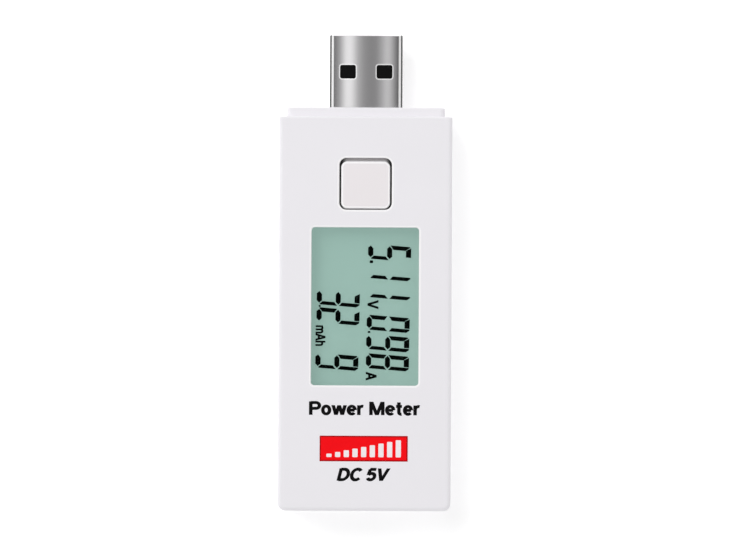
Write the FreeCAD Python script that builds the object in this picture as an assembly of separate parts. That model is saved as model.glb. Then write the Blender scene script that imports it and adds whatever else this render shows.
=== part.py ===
import FreeCAD, Part

import math
import os

# A plug-in power meter lying on its back.  X is its width, Y runs from the tail, where the
# socket is, to the plug's tip, and Z runs from the back face up to the display.
# Lengths are in millimetres.  The origin is under the middle of the whole length.

# Casing: two half shells that meet at half the thickness.
casing_width = 28.4
casing_length = 64.7
casing_thickness = 14.0
front_wall = 1.5
back_wall = 1.4
side_wall = 1.6
end_wall = 1.6
tail_corner_radius = 1.3
long_edge_radius = 0.7
shoulder_edge_radius = 0.3
cavity_corner_radius = 0.5
rim_bevel = 0.12

# Neck: the shallow step that the plug comes out of.
neck_width = 25.9
neck_length = 1.5
neck_step = 1.2
neck_edge_radius = 0.8

# Tongue and groove round the rim, with snap beads along the two long sides.
lip_thickness = 0.7
lip_height = 1.2
rim_clearance = 0.1
bead_length = 5.0
bead_height = 0.4
bead_depth = 0.2
bead_pitch = 18.0
bead_count = 3

# Opening of the button, its cap and how the cap sits.
button_opening_width = 8.6
button_opening_length = 8.5
button_opening_radius = 1.2
button_below_shoulder = 11.05
button_side_gap = 0.27
button_plug_side_gap = 0.56
button_tail_side_gap = 0.20
button_cap_radius = 1.0
button_cap_edge = 0.3
button_sink = 0.2
cap_flange_overhang = 0.55
cap_flange_thickness = 0.8
cap_flange_gap = 0.1
cap_stem_radius = 1.5

# Display opening, the clear window in it and the tape under the window.
display_width = 17.6
display_length = 25.9
display_corner_radius = 0.55
display_below_button = 2.9
opening_edge_radius = 0.2
window_gap = 0.12
window_sink = 0.25
window_flange_overhang = 1.0
window_flange_thickness = 0.8
tape_thickness = 0.3
tape_margin = 0.3

# Liquid crystal panel: two glasses with a sealed cell between them, two polarizers and
# two rubber connector strips.
glass_thickness = 0.7
cell_gap = 0.06
seal_width = 0.4
front_glass_overhang_x = 2.4
rear_glass_overhang_x = 0.5
glass_overhang_y = 1.5
polarizer_thickness = 0.2
polarizer_overhang = 1.0
strip_width = 1.4
strip_shortening = 3.0
strip_gap = 0.25
rib_length = 3.0
rib_gap = 0.15
rib_depth = 0.9

# Circuit board and the screws that hold it to the front shell.
board_thickness = 1.2
board_gap = 0.3
board_corner_radius = 0.5
screw_across = 19.2
screw_from_tail = 12.0
screw_below_shoulder = 7.7
screw_radius = 1.0
screw_pilot_radius = 0.8
screw_length = 5.2
screw_point = 0.8
screw_head_radius = 1.8
screw_head_height = 1.1
screw_recess_width = 0.5
screw_recess_length = 1.9
screw_recess_depth = 0.6
boss_radius = 2.0
boss_hole_spare = 0.6
board_hole_gap = 0.2
pillar_radius = 1.3
pillar_across = 19.2

# How far ribs, bosses, cradles and pillars run into the wall that they grow from.
root_depth = 0.4

# Standard plug: a folded steel shell round a half-height insulator with four contacts.
plug_width = 12.0
plug_height = 4.5
plug_reach = 11.9
plug_length = 18.75
plug_corner_radius = 0.74
plug_tip_bevel = 0.12
sheet_thickness = 0.3
plug_window_width = 2.6
plug_window_length = 2.25
plug_window_radius = 0.35
plug_window_across = 6.0
plug_window_from_tip = 6.0
plug_seam = 0.06
insulator_thickness = 1.95
insulator_recess = 0.4
insulator_block_from_tip = 9.6
shell_gap = 0.05
shell_opening_gap = 0.1

# Standard socket: a steel shell with leaf springs round a tongue with four contacts.
socket_width = 12.5
socket_height = 5.12
socket_length = 14.0
socket_recess = 0.2
socket_corner_radius = 0.5
socket_mouth_bevel = 0.1
tongue_width = 11.1
tongue_thickness = 1.84
tongue_recess = 1.2
tongue_length = 9.5
leaf_width = 1.5
leaf_slot = 0.25
leaf_across = 6.0
leaf_tip = 2.8
leaf_bend = 4.6
leaf_root = 9.0
leaf_dip = 0.5

# Contacts of both connectors, and the wings and legs that are soldered to the board.
contact_width = 1.0
contact_thickness = 0.25
contact_proud = 0.1
contact_places = (-3.5, -1.0, 1.0, 3.5)
power_contact_start = 1.2
signal_contact_start = 2.2
contact_hump = 0.35
contact_hump_start = 0.7
contact_hump_length = 3.6
leg_bend_space = 1.2
leg_foot = 1.6
wing_length = 2.0
wing_reach = 1.3
wing_from_end = 4.2
slot_side_gap = 0.15

# Tactile switch under the cap.
switch_size = 6.0
switch_base_height = 1.6
switch_floor = 0.4
switch_cavity_radius = 2.4
switch_cover_thickness = 0.25
switch_plunger_radius = 1.7
switch_plunger_gap = 0.1
switch_plunger_top = 2.5
plunger_foot_radius = 2.1
plunger_foot_thickness = 0.45
dome_radius = 2.2
dome_thickness = 0.1
terminal_width = 0.7
terminal_thickness = 0.2
terminal_reach = 1.1
terminal_across = 4.5

# Ribs of the back shell that the two connectors rest on.
cradle_thickness = 1.0
cradle_inset = 1.5
socket_cradles_from_tail = (3.6, 11.2)
plug_cradle_below_shoulder = 3.7

# Chips on the back of the board: sizes across, along and high.
chip_standoff = 0.1
quad_chip_size = (7.0, 7.0, 1.4)
small_chip_size = (3.9, 4.9, 1.5)
regulator_size = (1.6, 2.9, 1.1)

# Their leads: number in a row, pitch, width and reach.
lead_thickness = 0.15
quad_chip_leads = (11, 0.5, 0.22, 1.0)
small_chip_leads = (4, 1.27, 0.4, 1.0)
regulator_leads = (3, 0.95, 0.4, 0.7)
regulator_outer_leads = (2, 1.9, 0.4, 0.7)

# Soldered parts without leads: sizes across, along and high.
shunt_size = (3.2, 6.4, 0.6)
crystal_size = (3.2, 6.0, 1.4)
crystal_corner = 1.2
capacitor_size = (1.25, 2.0, 0.9)
resistor_size = (1.6, 0.8, 0.45)

# Places on the board, across and along from the point behind the display's middle.
memory_place = (-2.6, 9.6)
amplifier_place = (2.4, -9.4)
regulator_place = (5.4, 9.6)
shunt_place = (-5.2, -9.4)
crystal_place = (7.6, 4.2)
capacitor_places = ((-6.6, -4.5), (-6.6, -1.5), (-6.6, 1.5), (8.8, 10.5), (-7.4, 10.5))
resistor_places = ((6.8, -1.6), (6.8, -3.8), (6.8, -6.0), (-5.6, 13.4), (0.6, 13.9),
                   (6.8, -9.4))

# Room that cutting tools run past the faces they cut, and the slack in comparing places.
past = 1.0
slack = 1e-4

tail_y = -(casing_length + neck_length + plug_reach) / 2
shoulder_y = tail_y + casing_length
neck_y = shoulder_y + neck_length
tip_y = neck_y + plug_reach
mid_z = casing_thickness / 2
cavity_half_width = casing_width / 2 - side_wall
cavity_tail_y = tail_y + end_wall
cavity_shoulder_y = shoulder_y - end_wall
front_inside_z = casing_thickness - front_wall
button_y = shoulder_y - button_below_shoulder
display_y = (button_y - button_opening_length / 2 - display_below_button
             - display_length / 2)
board_top = mid_z + board_thickness / 2
board_bottom = mid_z - board_thickness / 2
window_bottom = front_inside_z - window_flange_thickness
front_polarizer_top = window_bottom - tape_thickness
front_glass_top = front_polarizer_top - polarizer_thickness
front_glass_bottom = front_glass_top - glass_thickness
rear_glass_top = front_glass_bottom - cell_gap
rear_polarizer_top = rear_glass_top - glass_thickness
cap_flange_top = front_inside_z - cap_flange_gap
cap_flange_bottom = cap_flange_top - cap_flange_thickness
switch_top = board_top + switch_base_height + switch_cover_thickness
plunger_top = board_top + switch_plunger_top
plug_end_y = tip_y - plug_length
socket_mouth_y = tail_y + socket_recess
socket_end_y = socket_mouth_y + socket_length
socket_outer_width = socket_width + 2 * sheet_thickness
socket_outer_height = socket_height + 2 * sheet_thickness
screw_places = [(side * screw_across / 2, y)
                for side in (-1, 1)
                for y in (tail_y + screw_from_tail, shoulder_y - screw_below_shoulder)]


def point(x, y, z):
    return FreeCAD.Vector(x, y, z)


def box(x_range, y_range, z_range):
    size = [high - low for low, high in (x_range, y_range, z_range)]
    return Part.makeBox(*size, point(x_range[0], y_range[0], z_range[0]))


def around(centre, size):
    return (centre - size / 2, centre + size / 2)


def cylinder(x, y, z_range, radius):
    return Part.makeCylinder(radius, z_range[1] - z_range[0], point(x, y, z_range[0]))


def extent(edge, axis):
    bounds = edge.BoundBox
    return {"x": (bounds.XMin, bounds.XMax),
            "y": (bounds.YMin, bounds.YMax),
            "z": (bounds.ZMin, bounds.ZMax)}[axis]


def edges_along(shape, axis):
    """The straight edges that run along one axis."""
    others = [name for name in "xyz" if name != axis]
    return [edge for edge in shape.Edges
            if all(extent(edge, name)[1] - extent(edge, name)[0] < slack for name in others)]


def edges_at(shape, axis, place):
    """The edges that lie wholly in the plane where the axis has this value."""
    return [edge for edge in shape.Edges
            if abs(extent(edge, axis)[0] - place) < slack
            and abs(extent(edge, axis)[1] - place) < slack]


def rounded_box(x_range, y_range, z_range, radius, axis="z"):
    """A box whose four edges along one axis are rounded."""
    plain = box(x_range, y_range, z_range)
    return plain.makeFillet(radius, edges_along(plain, axis))


def strip(points, x_centre, width):
    """A flat outline of (y, z) points, given a width along X."""
    corners = [point(x_centre - width / 2, y, z) for y, z in points]
    face = Part.Face(Part.makePolygon(corners + corners[:1]))
    return face.extrude(point(width, 0, 0))


def in_upper_half(shape):
    """Mirror a shape of the upper half of the casing into the lower half."""
    return shape.mirror(point(0, 0, mid_z), point(0, 0, 1))


def all_cut(shape, tools):
    return shape.cut(Part.makeCompound(tools)) if tools else shape


def all_joined(shapes):
    return shapes[0].fuse(shapes[1:]).removeSplitter()


def half_block(half_width, y_range, top, side_radius, end_radius, tail_radius):
    """Half of a casing block above the parting plane, rounded on its outer edges."""
    block = box((-half_width, half_width), y_range, (mid_z, top))
    if tail_radius:
        corners = [edge for edge in edges_along(block, "z")
                   if extent(edge, "y")[0] < y_range[0] + slack]
        block = block.makeFillet(tail_radius, corners)
    rim = [edge for edge in edges_at(block, "z", top)
           if extent(edge, "y")[0] < y_range[1] - slack
           and (tail_radius or extent(edge, "y")[1] > y_range[0] + slack)]
    block = block.makeFillet(side_radius, rim)
    front = [edge for edge in edges_at(block, "y", y_range[1])
             if extent(edge, "z")[1] > mid_z + slack]
    return block.makeFillet(end_radius, front)


def outer_half():
    """The solid outside form of the upper half of the casing, with its neck."""
    casing = half_block(casing_width / 2, (tail_y, shoulder_y), casing_thickness,
                        long_edge_radius, shoulder_edge_radius, tail_corner_radius)
    neck = half_block(neck_width / 2, (cavity_shoulder_y, neck_y),
                      casing_thickness - neck_step, neck_edge_radius,
                      shoulder_edge_radius, 0)
    return all_joined([casing, neck])


def rim_groove_line(half):
    """A small bevel round the outside of the rim, which makes the parting line."""
    return half.makeChamfer(rim_bevel, edges_at(half, "z", mid_z))


def cavity(top):
    return rounded_box((-cavity_half_width, cavity_half_width),
                       (cavity_tail_y, cavity_shoulder_y),
                       (mid_z, top), cavity_corner_radius)


def ring(offset, z_range):
    """A block over the cavity that is larger than it by the offset on every side."""
    half_width = cavity_half_width + offset
    return rounded_box((-half_width, half_width),
                       (cavity_tail_y - offset, cavity_shoulder_y + offset),
                       z_range, cavity_corner_radius + offset)


def beads(reach, spare):
    """Snap beads on the outside of the lip, or with spare room their grooves."""
    middle_y = (cavity_tail_y + cavity_shoulder_y) / 2
    z_range = around(mid_z + lip_height / 2, bead_height + 2 * spare)
    shapes = []
    for number in range(bead_count):
        y = middle_y + (number - (bead_count - 1) / 2) * bead_pitch
        for side in (-1, 1):
            inner = side * (cavity_half_width + lip_thickness / 2)
            outer = side * (cavity_half_width + lip_thickness + reach + spare)
            shapes.append(box(sorted((inner, outer)),
                              around(y, bead_length + 2 * spare), z_range))
    return shapes


def connector_openings():
    """The holes in the neck and the tail that the two connector shells sit in."""
    gap = 2 * shell_opening_gap
    plug = rounded_box(around(0, plug_width + gap),
                       (cavity_shoulder_y - past, neck_y + past),
                       around(mid_z, plug_height + gap),
                       plug_corner_radius + shell_opening_gap, "y")
    socket = rounded_box(around(0, socket_outer_width + gap),
                         (tail_y - past, cavity_tail_y + past),
                         around(mid_z, socket_outer_height + gap),
                         socket_corner_radius + sheet_thickness + shell_opening_gap, "y")
    return [plug, socket]


def front_opening(width, length, y, radius):
    return rounded_box(around(0, width), around(y, length),
                       (front_inside_z - past, casing_thickness + past), radius)


def opening_edges(cover, width, length, y):
    """The edges where an opening meets the front face."""
    return [edge for edge in edges_at(cover, "z", casing_thickness)
            if extent(edge, "x")[0] > -width / 2 - slack
            and extent(edge, "x")[1] < width / 2 + slack
            and extent(edge, "y")[0] > y - length / 2 - slack
            and extent(edge, "y")[1] < y + length / 2 + slack]


def glass_half_width():
    return display_width / 2 + front_glass_overhang_x


def glass_half_length():
    return display_length / 2 + glass_overhang_y


def locating_ribs():
    """Four ribs on the side walls that keep the panel's front glass in place."""
    reach = glass_half_width() + rib_gap
    shapes = []
    for side in (-1, 1):
        for end in (-1, 1):
            y = display_y + end * (glass_half_length() - rib_length)
            x_range = sorted((side * reach, side * (cavity_half_width + root_depth)))
            shapes.append(box(x_range, around(y, rib_length),
                              (front_glass_bottom - rib_depth,
                               front_inside_z + root_depth)))
    return shapes


def bosses():
    return [cylinder(x, y, (board_top, front_inside_z + root_depth), boss_radius)
            for x, y in screw_places]


def boss_holes():
    depth = screw_length - board_thickness + boss_hole_spare
    return [cylinder(x, y, (board_top, board_top + depth), screw_pilot_radius)
            for x, y in screw_places]


def front_cover():
    shell = rim_groove_line(outer_half()).cut(cavity(front_inside_z))
    shell = all_joined([shell] + locating_ribs() + bosses())
    groove_top = mid_z + lip_height + rim_clearance
    groove = ring(lip_thickness + rim_clearance, (mid_z - past, groove_top))
    inside = ring(0, (mid_z - past, groove_top))
    tools = [groove.cut(inside)] + beads(bead_depth, rim_clearance)
    tools += connector_openings() + boss_holes()
    tools.append(front_opening(display_width, display_length, display_y,
                               display_corner_radius))
    tools.append(front_opening(button_opening_width, button_opening_length, button_y,
                               button_opening_radius))
    for tool in tools:
        shell = shell.cut(tool)
    edges = opening_edges(shell, display_width, display_length, display_y)
    edges += opening_edges(shell, button_opening_width, button_opening_length, button_y)
    return shell.makeFillet(opening_edge_radius, edges)


def cradles():
    """Ribs on the back shell's floor that the two connector shells rest on."""
    floor = back_wall - root_depth
    plug_y = shoulder_y - plug_cradle_below_shoulder
    plug_top = mid_z - plug_height / 2 - shell_gap
    socket_top = mid_z - socket_outer_height / 2 - shell_gap
    shapes = [box(around(0, plug_width - 2 * cradle_inset),
                  around(plug_y, cradle_thickness), (floor, plug_top))]
    for from_tail in socket_cradles_from_tail:
        shapes.append(box(around(0, socket_width - 2 * cradle_inset),
                          around(tail_y + from_tail, cradle_thickness),
                          (floor, socket_top)))
    return shapes


def pillars():
    """Two pillars that back the board behind the display."""
    return [cylinder(side * pillar_across / 2, display_y,
                     (back_wall - root_depth, board_bottom), pillar_radius)
            for side in (-1, 1)]


def back_cover():
    shell = in_upper_half(rim_groove_line(outer_half()))
    inside = in_upper_half(cavity(casing_thickness - back_wall))
    shell = shell.cut(inside)
    lip = ring(lip_thickness, (mid_z - rim_bevel, mid_z + lip_height))
    lip = lip.cut(ring(0, (mid_z - past, mid_z + lip_height + past)))
    shell = all_joined([shell, lip] + cradles() + pillars())
    shell = all_joined([shell] + beads(bead_depth, 0))
    for tool in connector_openings():
        shell = shell.cut(tool)
    inner = box(around(0, 2 * cavity_half_width), (cavity_tail_y, cavity_shoulder_y),
                (mid_z, mid_z + lip_height + past))
    return shell.cut(inner)


def display_window():
    """A clear window whose raised middle fills the opening almost to the face."""
    flange = box(around(0, display_width + 2 * window_flange_overhang),
                 around(display_y, display_length + 2 * window_flange_overhang),
                 (window_bottom, front_inside_z))
    top = casing_thickness - window_sink
    middle = rounded_box(around(0, display_width - 2 * window_gap),
                         around(display_y, display_length - 2 * window_gap),
                         (window_bottom, top), display_corner_radius - window_gap)
    return all_joined([flange, middle])


def panel_sheet(overhang_x, overhang_y, z_range):
    return box(around(0, display_width + 2 * overhang_x),
               around(display_y, display_length + 2 * overhang_y), z_range)


def display_tape():
    z_range = (front_polarizer_top, window_bottom)
    outside = panel_sheet(window_flange_overhang, window_flange_overhang, z_range)
    return outside.cut(panel_sheet(tape_margin, tape_margin, z_range))


def display_panel():
    """The glasses, the seal between them and the polarizers."""
    front_glass = panel_sheet(front_glass_overhang_x, glass_overhang_y,
                              (front_glass_bottom, front_glass_top))
    cell = (rear_glass_top, front_glass_bottom)
    seal = panel_sheet(rear_glass_overhang_x, glass_overhang_y, cell)
    seal = seal.cut(panel_sheet(rear_glass_overhang_x - seal_width,
                                glass_overhang_y - seal_width, cell))
    rear_glass = panel_sheet(rear_glass_overhang_x, glass_overhang_y,
                             (rear_polarizer_top, rear_glass_top))
    front_film = panel_sheet(polarizer_overhang, polarizer_overhang,
                             (front_glass_top, front_polarizer_top))
    rear_film = panel_sheet(rear_glass_overhang_x, polarizer_overhang,
                            (rear_polarizer_top - polarizer_thickness, rear_polarizer_top))
    return {"lcd_front_glass": front_glass, "lcd_seal": seal,
            "lcd_rear_glass": rear_glass, "lcd_front_polarizer": front_film,
            "lcd_rear_polarizer": rear_film}


def connector_strips():
    """Striped rubber strips that join the glass ledges to the board."""
    inner = display_width / 2 + rear_glass_overhang_x + strip_gap
    length = display_length - strip_shortening
    return Part.makeCompound([
        box(around(side * (inner + strip_width / 2), strip_width),
            around(display_y, length), (board_top, front_glass_bottom))
        for side in (-1, 1)])


def main_board():
    y_range = (cavity_tail_y + board_gap, cavity_shoulder_y - board_gap)
    board = rounded_box(around(0, 2 * (cavity_half_width - board_gap)), y_range,
                        (board_bottom, board_top), board_corner_radius)
    z_range = (board_bottom - past, board_top + past)
    tools = [box(around(0, socket_outer_width + 2 * slot_side_gap),
                 (tail_y, socket_end_y + leg_bend_space), z_range),
             box(around(0, plug_width + 2 * slot_side_gap),
                 (plug_end_y - leg_bend_space, shoulder_y), z_range)]
    tools += [cylinder(x, y, z_range, screw_radius + board_hole_gap)
              for x, y in screw_places]
    return all_cut(board, tools)


def board_screw(x, y):
    """A pan-head self-tapping screw, put in from the back of the board."""
    head = cylinder(x, y, (board_bottom - screw_head_height, board_bottom),
                    screw_head_radius)
    rim = edges_at(head, "z", board_bottom - screw_head_height)
    head = head.makeFillet(screw_head_height / 2, rim)
    shank_end = board_bottom + screw_length - screw_point
    shank = cylinder(x, y, (board_bottom, shank_end), screw_radius)
    tip = Part.makeCone(screw_radius, screw_radius / 4, screw_point,
                        point(x, y, shank_end))
    low = board_bottom - screw_head_height
    recess_z = (low - past, low + screw_recess_depth)
    recess = all_joined([
        box(around(x, screw_recess_width), around(y, screw_recess_length), recess_z),
        box(around(x, screw_recess_length), around(y, screw_recess_width), recess_z)])
    return all_joined([head, shank, tip]).cut(recess)


def tube(width, height, y_range, radius, sheet):
    """A rectangular tube of bent sheet along Y, given its outside size and corner."""
    outside = rounded_box(around(0, width), y_range, around(mid_z, height), radius, "y")
    inside = rounded_box(around(0, width - 2 * sheet),
                         (y_range[0] - past, y_range[1] + past),
                         around(mid_z, height - 2 * sheet), radius - sheet, "y")
    return outside, inside


def wings(half_width, y):
    """Two soldered wings of a shell, which lie on top of the board."""
    return [box(sorted((side * (half_width - sheet_thickness / 2),
                        side * (half_width + wing_reach))),
                around(y, wing_length), (board_top, board_top + sheet_thickness))
            for side in (-1, 1)]


def plug_shell():
    outside, inside = tube(plug_width, plug_height, (plug_end_y, tip_y),
                           plug_corner_radius, sheet_thickness)
    outside = outside.makeChamfer(plug_tip_bevel, edges_at(outside, "y", tip_y))
    outside = all_joined([outside] + wings(plug_width / 2,
                                           plug_end_y + wing_length / 2 + shell_gap))
    shell = outside.cut(inside)
    for side in (-1, 1):
        hole = rounded_box(around(side * plug_window_across / 2, plug_window_width),
                           around(tip_y - plug_window_from_tip, plug_window_length),
                           (mid_z - plug_height, mid_z + plug_height),
                           plug_window_radius)
        shell = shell.cut(hole)
    seam = box(around(0, plug_seam), (plug_end_y - past, tip_y + past),
               (mid_z - plug_height, mid_z))
    return shell.cut(seam)


def leg_outline(start_y, end_y, strip_top, foot_y):
    """A contact in side view: straight, then down past the board's edge to its back."""
    low = strip_top - contact_thickness
    way = math.copysign(1.0, foot_y - start_y)
    bend = end_y + way * (leg_bend_space - contact_thickness) / 2
    inner = bend - way * contact_thickness
    foot_low = board_bottom - contact_thickness
    return [(start_y, low), (start_y, strip_top), (bend, strip_top),
            (bend, board_bottom), (foot_y, board_bottom), (foot_y, foot_low),
            (inner, foot_low), (inner, low)]


def plug_contacts():
    strip_top = mid_z + contact_thickness - contact_proud
    foot_y = plug_end_y - leg_bend_space - leg_foot
    shapes = []
    for x in contact_places:
        outer = abs(x) == max(contact_places)
        start = tip_y - (power_contact_start if outer else signal_contact_start)
        outline = leg_outline(start, plug_end_y, strip_top, foot_y)
        shapes.append(strip(outline, x, contact_width))
    return Part.makeCompound(shapes)


def plug_insulator(contacts):
    """A half-height insulator on the display side, and a full block behind it."""
    inner_width = plug_width - 2 * sheet_thickness - 2 * shell_gap
    inner_top = mid_z + plug_height / 2 - sheet_thickness
    front = box(around(0, inner_width), (plug_end_y + shell_gap, tip_y - insulator_recess),
                (inner_top - insulator_thickness, inner_top - shell_gap))
    block = box(around(0, inner_width),
                (plug_end_y + shell_gap, tip_y - insulator_block_from_tip),
                around(mid_z, plug_height - 2 * sheet_thickness - 2 * shell_gap))
    body = all_joined([front, block])
    corner = plug_corner_radius - sheet_thickness
    limit = rounded_box(around(0, inner_width), (plug_end_y, tip_y),
                        around(mid_z, plug_height - 2 * sheet_thickness - 2 * shell_gap),
                        corner, "y")
    return body.common(limit).cut(contacts)


def leaf_springs(side):
    """Two leaf springs of the socket's shell on one wide side, and their slots."""
    wall = socket_height / 2
    springs = []
    slots = []
    for across in (-leaf_across / 2, leaf_across / 2):
        inner = [(socket_mouth_y + leaf_root + leaf_slot, mid_z + side * wall),
                 (socket_mouth_y + leaf_bend, mid_z + side * (wall - leaf_dip)),
                 (socket_mouth_y + leaf_tip, mid_z + side * (wall - leaf_dip / 4))]
        outer = [(y, z + side * sheet_thickness) for y, z in reversed(inner)]
        springs.append(strip(inner + outer, across, leaf_width))
        z_range = sorted((mid_z + side * (wall - sheet_thickness / 2),
                          mid_z + side * (wall + 2 * sheet_thickness)))
        slots.append(box(around(across, leaf_width + 2 * leaf_slot),
                         (socket_mouth_y + leaf_tip - leaf_slot,
                          socket_mouth_y + leaf_root), z_range))
    return springs, slots


def socket_shell():
    outside, inside = tube(socket_outer_width, socket_outer_height,
                           (socket_mouth_y, socket_end_y),
                           socket_corner_radius + sheet_thickness, sheet_thickness)
    wing_y = cavity_tail_y + wing_from_end
    outside = all_joined([outside] + wings(socket_outer_width / 2, wing_y))
    shell = outside.cut(inside)
    shell = shell.makeChamfer(socket_mouth_bevel, edges_at(shell, "y", socket_mouth_y))
    springs = []
    for side in (-1, 1):
        leaves, slots = leaf_springs(side)
        shell = all_cut(shell, slots)
        springs += leaves
    return all_joined([shell] + springs)


def socket_contacts():
    """Contacts on the display side of the tongue, each with a raised rubbing hump."""
    front_y = socket_mouth_y + tongue_recess + contact_hump_start
    foot_y = socket_end_y + leg_bend_space + leg_foot
    ramp = contact_hump_length / 4
    shapes = []
    for x in contact_places:
        outline = leg_outline(front_y, socket_end_y, mid_z, foot_y)
        hump = [(front_y + ramp, mid_z - contact_thickness), (front_y + ramp, mid_z),
                (front_y + 2 * ramp, mid_z + contact_hump),
                (front_y + 3 * ramp, mid_z + contact_hump),
                (front_y + 4 * ramp, mid_z), (front_y + 4 * ramp, mid_z - contact_thickness)]
        shapes.append(all_joined([strip(outline, x, contact_width),
                                  strip(hump, x, contact_width)]))
    return Part.makeCompound(shapes)


def socket_insulator(contacts):
    tongue = box(around(0, tongue_width),
                 (socket_mouth_y + tongue_recess, socket_end_y - shell_gap),
                 (mid_z - tongue_thickness, mid_z))
    block = box(around(0, socket_width - 2 * shell_gap),
                (socket_mouth_y + tongue_recess + tongue_length, socket_end_y - shell_gap),
                around(mid_z, socket_height - 2 * shell_gap))
    block = block.makeFillet(socket_corner_radius, edges_along(block, "y"))
    return all_joined([tongue, block]).cut(contacts)


def button_cap():
    """The cap: its head in the opening, a flange that keeps it in and a short stem."""
    gap_shift = (button_tail_side_gap - button_plug_side_gap) / 2
    head_y = button_y + gap_shift
    head_length = button_opening_length - button_plug_side_gap - button_tail_side_gap
    top = casing_thickness - button_sink
    head = rounded_box(around(0, button_opening_width - 2 * button_side_gap),
                       around(head_y, head_length), (cap_flange_bottom, top),
                       button_cap_radius)
    head = head.makeFillet(button_cap_edge, edges_at(head, "z", top))
    flange = rounded_box(around(0, button_opening_width + 2 * cap_flange_overhang),
                         around(button_y, button_opening_length + 2 * cap_flange_overhang),
                         (cap_flange_bottom, cap_flange_top), button_cap_radius)
    stem = cylinder(0, button_y, (plunger_top, cap_flange_bottom), cap_stem_radius)
    return all_joined([head, flange, stem])


def switch_body():
    base = box(around(0, switch_size), around(button_y, switch_size),
               (board_top, board_top + switch_base_height))
    well = cylinder(0, button_y, (board_top + switch_floor,
                                  board_top + switch_base_height + past),
                    switch_cavity_radius)
    return base.cut(well)


def switch_cover():
    """A steel plate over the switch, with a hole for its plunger and two side lugs."""
    z_range = (board_top + switch_base_height, switch_top)
    plate = box(around(0, switch_size), around(button_y, switch_size), z_range)
    hole = cylinder(0, button_y, (z_range[0] - past, z_range[1] + past),
                    switch_plunger_radius + switch_plunger_gap)
    lugs = [box(sorted((side * switch_size / 2,
                        side * (switch_size / 2 + switch_cover_thickness))),
                around(button_y, switch_size / 3),
                (board_top + switch_floor, switch_top)) for side in (-1, 1)]
    return all_joined([plate.cut(hole)] + lugs)


def switch_plunger():
    foot_top = board_top + switch_base_height
    foot = cylinder(0, button_y, (foot_top - plunger_foot_thickness, foot_top),
                    plunger_foot_radius)
    stem = cylinder(0, button_y, (foot_top - plunger_foot_thickness, plunger_top),
                    switch_plunger_radius)
    return all_joined([foot, stem])


def switch_dome():
    """A shallow snap dome, cut from a thin ball, that lifts the plunger."""
    base_z = board_top + switch_floor
    crown_z = board_top + switch_base_height - plunger_foot_thickness
    rise = crown_z - base_z
    ball_radius = (dome_radius ** 2 + rise ** 2) / (2 * rise)
    centre = point(0, button_y, crown_z - ball_radius)
    ball = Part.makeSphere(ball_radius, centre)
    hollow = Part.makeSphere(ball_radius - dome_thickness, centre)
    above = box(around(0, 4 * dome_radius), around(button_y, 4 * dome_radius),
                (base_z, crown_z + past))
    return ball.cut(hollow).common(above)


def switch_terminals():
    """Four flat legs of the switch, soldered to the top of the board."""
    shapes = []
    for side in (-1, 1):
        for across in (-terminal_across / 2, terminal_across / 2):
            y_range = sorted((button_y + side * switch_size / 2,
                              button_y + side * (switch_size / 2 + terminal_reach)))
            shapes.append(box(around(across, terminal_width), y_range,
                              (board_top, board_top + terminal_thickness)))
    return Part.makeCompound(shapes)


def side_lead(edge, height, width, reach):
    """A gull-wing lead that leaves a chip's side at +Y, above a board at height zero."""
    step = reach / 3
    low = height - lead_thickness / 2
    high = height + lead_thickness / 2
    outline = [(edge, low), (edge, high), (edge + step + lead_thickness, high),
               (edge + step + lead_thickness, lead_thickness),
               (edge + reach, lead_thickness), (edge + reach, 0), (edge + step, 0),
               (edge + step, low)]
    return strip(outline, 0, width)


def lead_row(edge, height, row, turn):
    """One row of leads along a chip's side, turned about the chip's middle."""
    count, pitch, width, reach = row
    leads = []
    for number in range(count):
        lead = side_lead(edge, height, width, reach)
        lead.translate(point((number - (count - 1) / 2) * pitch, 0, 0))
        lead.rotate(point(0, 0, 0), point(0, 0, 1), turn)
        leads.append(lead)
    return leads


def under_board(shape, place):
    """Turn a part over and put it on the back of the board."""
    shape.rotate(point(0, 0, 0), point(0, 1, 0), 180)
    shape.translate(point(place[0], display_y + place[1], board_bottom))
    return shape


def chip(size, rows, place):
    """A moulded chip and its leads; rows pairs each turn about the chip with its leads."""
    body = box(around(0, size[0]), around(0, size[1]),
               (chip_standoff, chip_standoff + size[2]))
    leads = []
    for turn, row in rows:
        edge = (size[1] if turn % 180 == 0 else size[0]) / 2
        leads += lead_row(edge, chip_standoff + size[2] / 2, row, turn)
    return under_board(body, place), under_board(Part.makeCompound(leads), place)


def chips():
    both_sides = [(turn, small_chip_leads) for turn in (90, 270)]
    made = {
        "microcontroller": chip(
            quad_chip_size, [(turn, quad_chip_leads) for turn in (0, 90, 180, 270)], (0, 0)),
        "memory_chip": chip(small_chip_size, both_sides, memory_place),
        "amplifier_chip": chip(small_chip_size, both_sides, amplifier_place),
        "voltage_regulator": chip(
            regulator_size, [(90, regulator_leads), (270, regulator_outer_leads)],
            regulator_place),
    }
    nodes = {}
    for name, (body, leads) in made.items():
        nodes[name] = body
        nodes[name + "_leads"] = leads
    return nodes


def plain_part(size, place):
    return under_board(box(around(0, size[0]), around(0, size[1]), (0, size[2])), place)


def crystal():
    """A crystal in a metal can that is round at both ends."""
    can = rounded_box(around(0, crystal_size[0]), around(0, crystal_size[1]),
                      (0, crystal_size[2]), crystal_corner)
    return under_board(can, crystal_place)


def plain_parts(size, places):
    return Part.makeCompound([plain_part(size, place) for place in places])


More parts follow.
